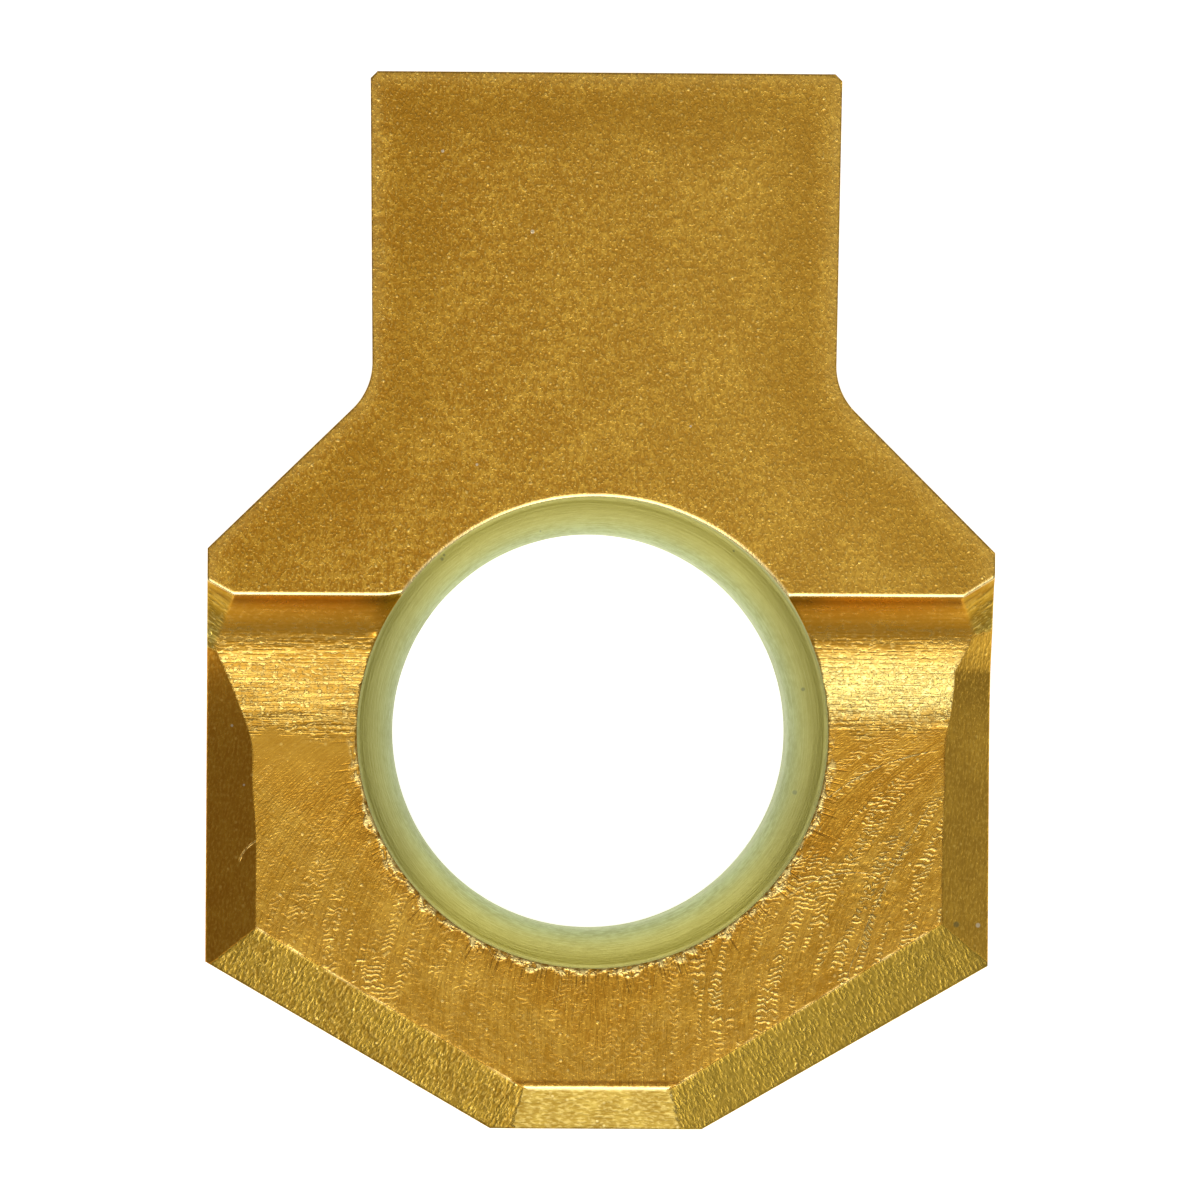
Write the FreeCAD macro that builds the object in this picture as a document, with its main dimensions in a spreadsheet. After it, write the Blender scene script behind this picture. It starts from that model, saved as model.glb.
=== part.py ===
import FreeCAD, Part
import math
import os
import Sketcher
from FreeCAD import Placement, Rotation, Vector

# Grooving insert: one ground and coated carbide piece, lying on its flat back.
# The origin is on the bore axis at the back face. +Z points out of the rake face and
# +Y points from the bore to the cutting edge. Reaches are measured from the bore axis.

# Driving dimensions in millimetres and degrees: alias, value, meaning
driving_sizes = [
    ("thickness", 6.35, "back face to rake face"),
    ("floor_height", 4.7625, "back face to the recessed floor"),
    ("body_width", 15.875, "across the two side walls"),
    ("middle_shift", 0.124, "middle of the outline, right of the bore axis"),
    ("edge_reach", 13.314, "bore axis to the cutting edge"),
    ("cutting_width", 9.51, "length of the cutting edge"),
    ("tip_chamfer", 0.14, "flat at each end of the cutting edge"),
    ("back_taper", 0.74, "angle by which each side of the blade narrows to the rear"),
    ("side_relief", 2.0, "angle by which each side of the blade narrows downwards"),
    ("front_relief", 7.0, "angle of the front face below the cutting edge"),
    ("neck_reach", 6.9, "bore axis to the corner of blade and shoulder"),
    ("neck_radius", 1.3, "round in that corner"),
    ("shoulder_angle", 44.6, "slope of the shoulders in plan"),
    ("base_reach", 8.033, "bore axis to the base wall"),
    ("base_width", 4.3, "length of the base wall"),
    ("base_angle", 30.0, "slope of the two lower walls in plan"),
    ("step_reach", 2.78, "bore axis to the edge where the rake face ends"),
    ("cove_radius", 3.175, "hollow between the rake face and the floor"),
    ("flare_inset", 0.5775, "side wall to the turn at each end of that edge"),
    ("flare_angle", 30.0, "turn of the edge and its hollow towards the blade"),
    ("side_facet_slope", 30.0, "fall of both side facets from the floor"),
    ("left_facet_inset", 1.025, "width of the left facet in plan"),
    ("left_runout_reach", -0.75, "where the left facet begins to rise out"),
    ("left_runout_radius", 3.9, "wheel radius at the end of the left facet"),
    ("right_facet_inset", 0.966, "width of the right facet in plan"),
    ("right_runout_reach", -0.64, "where the right facet begins to rise out"),
    ("right_runout_radius", 4.4, "wheel radius at the end of the right facet"),
    ("base_facet_slope", 30.0, "fall of the base facet from the floor"),
    ("base_facet_inset", 0.843, "width of the base facet in plan"),
    ("lower_facet_slope", 25.0, "fall of both lower facets from the floor"),
    ("left_facet_turn", 33.06, "direction of the lower left facet in plan"),
    ("left_corner_inset", 0.661, "end of the base wall to that facet's corner, along the base"),
    ("right_facet_turn", 31.16, "direction of the lower right facet in plan"),
    ("right_corner_inset", 0.561, "end of the base wall to that facet's corner, along the base"),
    ("hole_diameter", 8.05, "screw hole through the back"),
    ("rim_diameter", 9.55, "upper bore, where the screw head sinks in"),
    ("seat_top", 4.1, "back face to the top of the curved screw seat"),
    ("seat_radius", 3.6, "round of the screw seat, tangent to the screw hole"),
]

# Sizes that follow from them, as formulas of the same sheet
derived_sizes = [
    ("wall", "=body_width / 2"),
    ("half_edge", "=cutting_width / 2"),
    ("half_root", "=half_edge - (edge_reach - neck_reach) * tan(back_taper)"),
    ("half_base", "=base_width / 2"),
    ("shoulder_reach", "=neck_reach - (wall - half_root) * tan(shoulder_angle)"),
    ("corner_reach", "=base_reach - (wall - half_base) * tan(base_angle)"),
    ("side_setback", "=thickness * tan(side_relief)"),
    ("front_setback", "=thickness * tan(front_relief)"),
    ("step_height", "=thickness - floor_height"),
    ("flare_offset", "=wall - flare_inset"),
    ("cove_run", "=sqrt(cove_radius ^ 2 - (cove_radius - step_height) ^ 2)"),
    ("hole_radius", "=hole_diameter / 2"),
    ("rim_radius", "=rim_diameter / 2"),
    ("seat_run", "=sqrt(seat_radius ^ 2 - (seat_radius + hole_radius - rim_radius) ^ 2)"),
    ("left_floor_edge", "=middle_shift - wall + left_facet_inset"),
    ("right_floor_edge", "=middle_shift + wall - right_facet_inset"),
    ("base_floor_edge", "=base_facet_inset - base_reach"),
    ("left_facet_corner", "=half_base - left_corner_inset"),
    ("right_facet_corner", "=half_base - right_corner_inset"),
]

# How far cuts reach past the blank, and how far the body runs on into the blade
clear = 30.0
overlap = 1.0

doc = FreeCAD.newDocument("grooving_insert")


def make_sheet():
    sheet = doc.addObject("Spreadsheet::Sheet", "sizes")
    for row, (alias, value, meaning) in enumerate(driving_sizes, start=1):
        sheet.set(f"A{row}", alias)
        sheet.set(f"B{row}", str(value))
        sheet.setAlias(f"B{row}", alias)
        sheet.set(f"C{row}", meaning)
    for row, (alias, formula) in enumerate(derived_sizes, start=1):
        sheet.set(f"E{row}", alias)
        sheet.set(f"F{row}", formula)
        sheet.setAlias(f"F{row}", alias)
    doc.recompute()


def new_sketch(body, name, role):
    sketch = body.newObject("Sketcher::SketchObject", name)
    plane = next(item for item in body.Origin.OriginFeatures if item.Role == role)
    sketch.AttachmentSupport = [(plane, "")]
    sketch.MapMode = "FlatFace"
    return sketch


def number(sketch, text):
    value = sketch.evalExpression(text)
    return float(getattr(value, "Value", value))


def bind_last(sketch, text):
    sketch.setExpression(f"Constraints[{sketch.ConstraintCount - 1}]", text)


def add_arc(sketch, index, first, last, radius):
    # turns left on the way from first to last, or right where the radius is negative
    turn = math.copysign(1, radius)
    chord = last - first
    depth = math.sqrt(max(radius ** 2 - (chord.Length / 2) ** 2, 0.0))
    centre = first + chord / 2 + Vector(-chord.y, chord.x, 0).normalize() * depth * turn
    ends = [first, last] if turn > 0 else [last, first]
    angles = [math.atan2(end.y - centre.y, end.x - centre.x) for end in ends]
    circle = Part.Circle(centre, Vector(0, 0, 1), abs(radius))
    sketch.addGeometry(Part.ArcOfCircle(circle, *angles))
    sketch.addConstraint(Sketcher.Constraint("Radius", index, abs(radius)))
    return (1, 2) if turn > 0 else (2, 1)


def draw_profile(sketch, corners):
    """Closed outline through corners that are pairs of expressions. A third entry makes
    the way to the next corner an arc of that radius, with a minus sign to turn right."""
    places = [Vector(number(sketch, item[0]), number(sketch, item[1]), 0) for item in corners]
    ends = []
    for index, corner in enumerate(corners):
        first, last = places[index], places[(index + 1) % len(corners)]
        if len(corner) == 3:
            ends.append(add_arc(sketch, index, first, last, number(sketch, corner[2])))
            bind_last(sketch, corner[2].lstrip("-"))
        else:
            sketch.addGeometry(Part.LineSegment(first, last))
            ends.append((1, 2))
    for index in range(len(corners)):
        after = (index + 1) % len(corners)
        joint = Sketcher.Constraint("Coincident", index, ends[index][1], after, ends[after][0])
        sketch.addConstraint(joint)
    for index, corner in enumerate(corners):
        for kind, text, value in zip(("DistanceX", "DistanceY"), corner, places[index]):
            sketch.addConstraint(Sketcher.Constraint(kind, -1, 1, index, ends[index][0], value))
            bind_last(sketch, text)


def both_sides(half):
    # corners of the right half from front to rear, then their mirror images back again
    right = [(f"sizes.middle_shift + {x}", y) for x, y in half]
    left = [(f"sizes.middle_shift - ({x})", y) for x, y in reversed(half)]
    return right + left


def place_sketch(sketch, axis, across, along, up, angle):
    # an upright sketch looks along +X: its own x, y and z are Y, Z and X of the part
    sketch.AttachmentOffset = Placement(Vector(), Rotation(axis, 1))
    sketch.setExpression("AttachmentOffset.Base.z", across)
    sketch.setExpression("AttachmentOffset.Base.x", along)
    sketch.setExpression("AttachmentOffset.Base.y", up)
    sketch.setExpression("AttachmentOffset.Rotation.Angle", angle)


def cut_both_ways(body, sketch, name):
    before = body.Shape.Volume
    pocket = body.newObject("PartDesign::Pocket", name)
    pocket.Profile = sketch
    pocket.SideType = "Symmetric"
    pocket.Length = 2 * clear
    doc.recompute()
    report_cut(body, name, before)


def report_cut(body, name, before):
    removed = before - body.Shape.Volume
    if removed < 0.001:
        raise RuntimeError(name + " cuts nothing")
    print(name, "takes away", round(removed, 3), "cubic millimetres")


def pad_body(body):
    # side walls, two lower walls and the base; the shoulders run on inside the blade
    half = [
        (f"sizes.half_root - {overlap}", f"sizes.neck_reach + {overlap} * tan(sizes.shoulder_angle)"),
        ("sizes.wall", "sizes.shoulder_reach"),
        ("sizes.wall", "-sizes.corner_reach"),
        ("sizes.half_base", "-sizes.base_reach"),
    ]
    sketch = new_sketch(body, "body_outline", "XY_Plane")
    draw_profile(sketch, both_sides(half))
    pad = body.newObject("PartDesign::Pad", "body_pad")
    pad.Profile = sketch
    pad.setExpression("Length", "sizes.thickness")
    doc.recompute()


def blade_outline(body, name, side_setback, front_setback):
    # its sides narrow to the rear and reach as far as the step, inside the body
    front = f"sizes.edge_reach - {front_setback}"
    side = f"sizes.half_edge - {side_setback}"
    rear = f"sizes.half_edge - {side_setback} - (sizes.edge_reach - sizes.step_reach) * tan(sizes.back_taper)"
    half = [
        (f"{side} - sizes.tip_chamfer", front),
        (side, f"{front} - sizes.tip_chamfer"),
        (rear, "sizes.step_reach"),
    ]
    sketch = new_sketch(body, name, "XY_Plane")
    draw_profile(sketch, both_sides(half))
    return sketch


def loft_blade(body):
    # from the cutting edge's outline down to a smaller one, which gives the reliefs
    top = blade_outline(body, "blade_top", "0", "0")
    top.setExpression("AttachmentOffset.Base.z", "sizes.thickness")
    bottom = blade_outline(body, "blade_bottom", "sizes.side_setback", "sizes.front_setback")
    doc.recompute()
    loft = body.newObject("PartDesign::AdditiveLoft", "blade")
    loft.Profile = top
    loft.Sections = [bottom]
    loft.Ruled = True
    doc.recompute()


def neck_edges(shape, middle, half_root, reach):
    # the two upright edges where the blade meets the shoulders
    names = []
    for index, edge in enumerate(shape.Edges, start=1):
        ends = [vertex.Point for vertex in edge.Vertexes]
        if len(ends) == 2 and abs(ends[0].z - ends[1].z) > 1:
            top = max(ends, key=lambda end: end.z)
            if abs(abs(top.x - middle) - half_root) < 0.01 and abs(top.y - reach) < 0.01:
                names.append(f"Edge{index}")
    return names


def round_neck(body):
    sheet = doc.getObject("sizes")
    names = neck_edges(body.Shape, sheet.middle_shift, sheet.half_root, sheet.neck_reach)
    if len(names) != 2:
        raise RuntimeError("the two neck edges were not found")
    joined = body.Tip
    fillet = body.newObject("PartDesign::Fillet", "neck_round")
    fillet.Base = (joined, names)
    fillet.setExpression("Radius", "sizes.neck_radius")
    doc.recompute()


def cove_profile(sketch, edge):
    # everything above the floor and in front of the hollow that rises to the rake face
    foot = f"{edge} - sizes.cove_run"
    draw_profile(sketch, [
        (foot, "sizes.floor_height", "sizes.cove_radius"),
        (edge, "sizes.thickness"),
        (edge, f"sizes.thickness + {clear}"),
        (f"-{clear}", f"sizes.thickness + {clear}"),
        (f"-{clear}", "sizes.floor_height"),
    ])


def cut_step(body):
    # the main hollow runs straight across, and each end turns towards the blade
    sketch = new_sketch(body, "step_profile", "YZ_Plane")
    cove_profile(sketch, "sizes.step_reach")
    cut_both_ways(body, sketch, "step")
    for side, sign in (("left", "-"), ("right", "")):
        sketch = new_sketch(body, f"{side}_flare_profile", "YZ_Plane")
        across = f"sizes.middle_shift + {sign}sizes.flare_offset"
        turn = f"{sign}sizes.flare_angle"
        place_sketch(sketch, Vector(0, 1, 0), across, "sizes.step_reach", "0", turn)
        cove_profile(sketch, "0")
        cut_both_ways(body, sketch, f"{side}_flare")


def cut_side_facets(body):
    # a wheel runs along each side on a slope, and its radius rises out beside the cove
    for side, sign in (("left", "-"), ("right", "")):
        sketch = new_sketch(body, f"{side}_facet_profile", "YZ_Plane")
        place_sketch(sketch, Vector(1, 0, 0), f"sizes.{side}_floor_edge", "0",
                     "sizes.floor_height", f"{sign}sizes.side_facet_slope")
        start = f"sizes.{side}_runout_reach"
        radius = f"sizes.{side}_runout_radius"
        draw_profile(sketch, [
            (f"-{clear}", "0"),
            (start, "0", radius),
            (f"{start} + {radius}", radius),
            (f"-{clear}", radius),
        ])
        cut_both_ways(body, sketch, f"{side}_facet")


def cut_end_facet(body, name, across, turn, slope):
    # a plane that falls outwards from its edge on the floor, whose direction is turn
    sketch = new_sketch(body, f"{name}_profile", "YZ_Plane")
    place_sketch(sketch, Vector(0, 1, 0), across, "sizes.base_floor_edge", "sizes.floor_height", turn)
    draw_profile(sketch, [
        ("0", "0"),
        ("0", f"{clear}"),
        (f"-{clear}", f"{clear}"),
        (f"-{clear}", f"-{clear} * tan({slope})"),
    ])
    cut_both_ways(body, sketch, name)


def cut_end_facets(body):
    cut_end_facet(body, "base_facet", "sizes.middle_shift", "0", "sizes.base_facet_slope")
    cut_end_facet(body, "lower_left_facet", "sizes.middle_shift - sizes.left_facet_corner",
                  "-sizes.left_facet_turn", "sizes.lower_facet_slope")
    cut_end_facet(body, "lower_right_facet", "sizes.middle_shift + sizes.right_facet_corner",
                  "sizes.right_facet_turn", "sizes.lower_facet_slope")


def bore_screw_hole(body):
    # screw hole, curved seat that opens upwards, and the upper bore for the screw head
    before = body.Shape.Volume
    sketch = new_sketch(body, "bore_profile", "XZ_Plane")
    draw_profile(sketch, [
        ("0", f"-{overlap}"),
        ("sizes.hole_radius", f"-{overlap}"),
        ("sizes.hole_radius", "sizes.seat_top - sizes.seat_run", "-sizes.seat_radius"),
        ("sizes.rim_radius", "sizes.seat_top"),
        ("sizes.rim_radius", f"sizes.thickness + {overlap}"),
        ("0", f"sizes.thickness + {overlap}"),
    ])
    groove = body.newObject("PartDesign::Groove", "bore")
    groove.Profile = sketch
    groove.ReferenceAxis = (sketch, ["V_Axis"])
    groove.Angle = 360
    doc.recompute()
    report_cut(body, "bore", before)


def build_insert():
    body = doc.addObject("PartDesign::Body", "insert_body")
    body.Label = "grooving_insert"
    pad_body(body)
    loft_blade(body)
    round_neck(body)
    cut_step(body)
    cut_side_facets(body)
    cut_end_facets(body)
    bore_screw_hole(body)
    return body


def check_document(bodies):
    for item in doc.Objects:
        if "Invalid" in item.State or "Error" in item.State:
            raise RuntimeError(f"{item.Name} failed: {item.State}")
    for body in bodies:
        if body.Shape.isNull() or not body.Shape.isValid():
            raise RuntimeError(body.Label + " has no valid shape")
        print(body.Label, len(body.Shape.Solids), "solid,", round(body.Shape.Volume, 2), "cubic millimetres")


make_sheet()
pieces = [build_insert()]
check_document(pieces)
os.makedirs("parts", exist_ok=True)
for piece in pieces:
    piece.Shape.exportStep(f"parts/{piece.Label}.step")
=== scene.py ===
import math

import bpy
import numpy as np
from mathutils import Matrix, Vector


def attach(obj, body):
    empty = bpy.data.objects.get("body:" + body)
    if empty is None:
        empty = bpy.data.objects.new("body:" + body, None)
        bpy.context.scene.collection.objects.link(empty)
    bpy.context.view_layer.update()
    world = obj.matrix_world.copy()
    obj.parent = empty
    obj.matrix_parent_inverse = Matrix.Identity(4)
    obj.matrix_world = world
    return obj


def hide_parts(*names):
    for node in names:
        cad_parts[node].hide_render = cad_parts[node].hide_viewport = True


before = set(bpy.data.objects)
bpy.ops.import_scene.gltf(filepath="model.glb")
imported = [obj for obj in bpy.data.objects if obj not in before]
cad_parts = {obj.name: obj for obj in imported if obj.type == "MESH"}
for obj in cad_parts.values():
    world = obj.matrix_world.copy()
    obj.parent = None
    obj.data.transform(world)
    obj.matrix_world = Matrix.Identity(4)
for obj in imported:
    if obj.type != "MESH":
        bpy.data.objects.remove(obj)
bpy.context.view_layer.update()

mm = 0.001
farAway = 99.0   # millimetres, further than any part of the insert
body = "root"


def sind(angle):
    return np.sin(np.radians(angle))


def cosd(angle):
    return np.cos(np.radians(angle))


def tand(angle):
    return np.tan(np.radians(angle))


cameraView = {
    "aim": (0.096, 2.688, 6.35),   # millimetres, on the rake face
    "distance": 330.0,
    "lean": 1.3,                   # degrees that the view leans from straight down towards +X
    "roll": 0.36,
    "pixelsPerMm": 49.64,
    "frame": 1200,
    "sensor": 36.0,
    "clip": (0.01, 20),            # metres
}


def makeCamera(view):
    forward = Vector((sind(view["lean"]), 0, -cosd(view["lean"])))
    level = forward.cross(Vector((0, 1, 0)))
    rise = level.cross(forward)
    right = level * cosd(view["roll"]) + rise * sind(view["roll"])
    up = rise * cosd(view["roll"]) - level * sind(view["roll"])
    data = bpy.data.cameras.new("camera")
    data.sensor_width = view["sensor"]
    data.lens = view["pixelsPerMm"] * view["distance"] / view["frame"] * view["sensor"]
    data.clip_start, data.clip_end = view["clip"]
    camera = bpy.data.objects.new("camera", data)
    bpy.context.scene.collection.objects.link(camera)
    turn = Matrix((right, up, -forward)).transposed().to_4x4()
    place = (Vector(view["aim"]) - forward * view["distance"]) * mm
    camera.matrix_world = Matrix.Translation(place) @ turn
    bpy.context.scene.camera = camera


makeCamera(cameraView)
print("camera made")


noiseCells = (251, 257)   # cells before the noise repeats


def softNoise(x, y, cellX, cellY, seed):
    # seeded numbers at the corners of cells, eased between the four corners round each point
    table = np.random.default_rng(seed).uniform(-1, 1, noiseCells)
    column, row = np.floor(x / cellX).astype(int), np.floor(y / cellY).astype(int)
    u, v = x / cellX - column, y / cellY - row
    u, v = u * u * (3 - 2 * u), v * v * (3 - 2 * v)

    def corner(i, j):
        return table[(column + i) % noiseCells[0], (row + j) % noiseCells[1]]

    near = corner(0, 0) * (1 - u) + corner(1, 0) * u
    far = corner(0, 1) * (1 - u) + corner(1, 1) * u
    return near * (1 - v) + far * v


def ease(low, high, value):
    # 0 below low, 1 above high, with a smooth rise between
    t = np.clip((value - low) / (high - low), 0, 1)
    return t * t * (3 - 2 * t)


def softMin(first, second, reach):
    # the lower of two surfaces, with their crease rounded over about reach
    return 0.5 * (first + second - np.sqrt((first - second) ** 2 + reach ** 2))


# the insert: sizes in millimetres from the bore axis
size = {
    "top": 6.35, "floor": 4.7625, "coveRadius": 3.175,
    "tipReach": 13.314, "tipChamfer": 0.14, "neckReach": 6.9, "neckRadius": 1.3,
    "shoulderReach": 3.683, "lowerReach": 4.692, "baseReach": 8.033,
    "bladeMiddle": 0.16, "bodyMiddle": 0.124,
    "frontSetback": 0.78, "sideSetback": 0.222,
    "sideFacetSlope": 30.0, "baseFacetReach": 7.19, "baseFacetSlope": 25.5, "lowerFacetSlope": 25.5,
    "boreRadius": 4.775, "holeRadius": 4.025, "seatFoot": 1.89, "seatTop": 4.1, "seatRadius": 3.6,
    "edgeHone": 0.040, "edgeHoneSlope": 24.0,    # narrow flat along the edge of the rake face
    "rimHone": 0.050, "rimHoneSlope": 20.0,      # the same round the bore
    "baseHone": 0.025, "lowerHone": 0.012, "creaseSlope": 18.0,  # worn creases above the lower facets
    "flareRun": 39.0, "flareWall": 3.2,          # angle of the hollow's turned ends, slope of their wall
    "edgeCurl": 0.055,                           # the edge turns up where it meets the bore on the left
    "leadIn": 1.732,                             # slope of the hollow carried on above its edge
    "honeReach": 0.5,                            # the worn flat plays no part further behind the edge
    "honeRound": 0.008, "edgeRound": 0.006,      # rounding of the creases beside the worn flat
}
# how far behind its edge the hollow meets the floor
centreAbove = size["coveRadius"] - size["top"] + size["floor"]
size["coveRun"] = math.sqrt(size["coveRadius"] ** 2 - centreAbove ** 2)

# each side in its own coordinates: out is the distance outwards from the bore axis
leftSide = {
    "sign": -1, "wall": 7.8135, "tip": 4.59, "root": 4.512,
    "stepOut": 7.296, "stepReach": 2.762, "flareTurn": 28.4,
    "flareDeeper": 0.02, "leaveAt": 1.6, "leave": 0.2,
    "facetEdge": 6.79, "runoutStart": -0.75, "runoutRadius": 3.9, "runoutSwell": 0.042,
    "facetTurn": 30.6, "facetCorner": 1.365, "baseCorner": 2.026,
}
rightSide = {
    "sign": 1, "wall": 8.0615, "tip": 4.918, "root": 4.826,
    "stepOut": 7.434, "stepReach": 2.80, "flareTurn": 31.8,
    "flareDeeper": 0.03, "leaveAt": 1.28, "leave": 0.30,
    "facetEdge": 7.0955, "runoutStart": -0.58, "runoutRadius": 5.5, "runoutSwell": 0.02,
    "facetTurn": 31.6, "facetCorner": 1.63, "baseCorner": 2.274,
}


def behindStep(out, reach, side):
    # distance behind the edge of the rake face: its straight part, its turned part, the larger of them
    turn = side["flareTurn"]
    straight = side["stepReach"] - reach
    turned = (out - side["stepOut"]) * sind(turn) + (side["stepReach"] - reach) * cosd(turn)
    return straight, turned, np.maximum(straight, turned)


def hollowHeight(behind):
    # a hollow of constant radius that runs out level into the floor: floor + radius - the root of
    # (radius squared - the squared distance still to go to its foot), and a steep plane before its edge
    left = np.clip(size["coveRun"] - behind, 0, size["coveRun"])
    hollow = size["floor"] + size["coveRadius"] - np.sqrt(size["coveRadius"] ** 2 - left ** 2)
    return np.where(behind < 0, size["top"] - behind * size["leadIn"], hollow)


def wornEdge(behind, cut):
    # the lowest of the level rake face, the narrow worn flat along its edge and the cut behind it
    hone = size["top"] - (behind + size["edgeHone"]) * tand(size["edgeHoneSlope"])
    hone = np.where(behind < size["honeReach"], hone, farAway)
    return softMin(size["top"], softMin(hone, cut, size["honeRound"]), size["edgeRound"])


def coveHeight(behind):
    # level rake face, worn edge, then the hollow
    return wornEdge(behind, hollowHeight(behind))


def flareHeight(out, reach, turned, side):
    # at each end of the edge a second, deeper hollow runs out at an angle, below a steep short wall:
    # the higher of that wall and of the hollow at the distance behind a line turned by flareRun
    turn = size["flareRun"]
    deep = ((out - side["stepOut"]) * sind(turn) + (side["stepReach"] - reach) * cosd(turn)
            + side["flareDeeper"])
    wall = size["top"] - turned * size["flareWall"]
    cut = np.maximum(wall, hollowHeight(np.maximum(deep, 0)))
    return wornEdge(turned, cut)


def runoutRise(reach, side):
    # how far the side wheel has lifted off: a circle that leaves its straight run, with a slight swell
    past = np.clip(reach - side["runoutStart"], 0, side["runoutRadius"])
    lift = side["runoutRadius"] - np.sqrt(side["runoutRadius"] ** 2 - past ** 2)
    swell = side["runoutSwell"] * np.exp(-((reach + 0.9) / 0.8) ** 2)
    swell = swell + side["leave"] * np.maximum(reach - side["leaveAt"], 0)
    return np.where(reach - side["runoutStart"] >= side["runoutRadius"], 20.0, lift + swell)


def facetWidth(reach, side):
    # where the side facet starts: its sloping plane meets the floor or the hollow
    slope = size["sideFacetSlope"]
    straight, _, _ = behindStep(0.0, reach, side)
    rise = coveHeight(straight) - size["floor"]
    return (runoutRise(reach, side) - rise * cosd(slope)) / sind(slope)


def creaseWear(out, reach):
    # how far a crease is worn: noise in long dashes, nothing below 0
    return np.clip(softNoise(out, reach, 0.23, 0.9, 15) + 0.25, 0, None)


def facetHeights(out, reach, side):
    # side facet, lower facet and base facet, each a plane that falls outwards from the floor, then
    # the narrow flats that round the creases above the lower and the base facet
    slope = size["sideFacetSlope"]
    fall = runoutRise(reach, side) - (out - side["facetEdge"]) * sind(slope)
    sideFacet = size["floor"] + fall / cosd(slope)
    past = ((out - side["facetCorner"]) * sind(side["facetTurn"])
            + (-size["baseFacetReach"] - reach) * cosd(side["facetTurn"]))
    lowerFacet = size["floor"] - past * tand(size["lowerFacetSlope"])
    pastBase = -size["baseFacetReach"] - reach
    baseFacet = size["floor"] - pastBase * tand(size["baseFacetSlope"])
    worn = creaseWear(out, reach)
    lowerFlat = size["floor"] - (past + size["lowerHone"] * worn) * tand(size["creaseSlope"])
    wobble = 1 + 0.45 * softNoise(out, reach * 0, 0.22, 1, 16)
    baseFlat = size["floor"] - (pastBase + size["baseHone"] * wobble) * tand(size["creaseSlope"])
    return sideFacet, lowerFacet, baseFacet, lowerFlat, baseFlat, past, pastBase


def along(start, end, count, dense="none", strength=0.75):
    # count points from start towards end, which is left out, closer together where dense says
    t = np.arange(count) / count
    if dense == "both":
        t = t - strength * np.sin(2 * np.pi * t) / (2 * np.pi)
    if dense == "start":
        t = t * (1 - strength) + strength * t * t
    if dense == "end":
        t = t * (1 + strength) - strength * t * t
    start, end = np.asarray(start, float), np.asarray(end, float)
    return start + (end - start) * t.reshape((-1,) + (1,) * start.ndim)


def rimPoint(turn):
    # turn is measured from +Y towards the side's wall
    return size["boreRadius"] * np.stack([sind(turn), cosd(turn)], -1)


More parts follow.
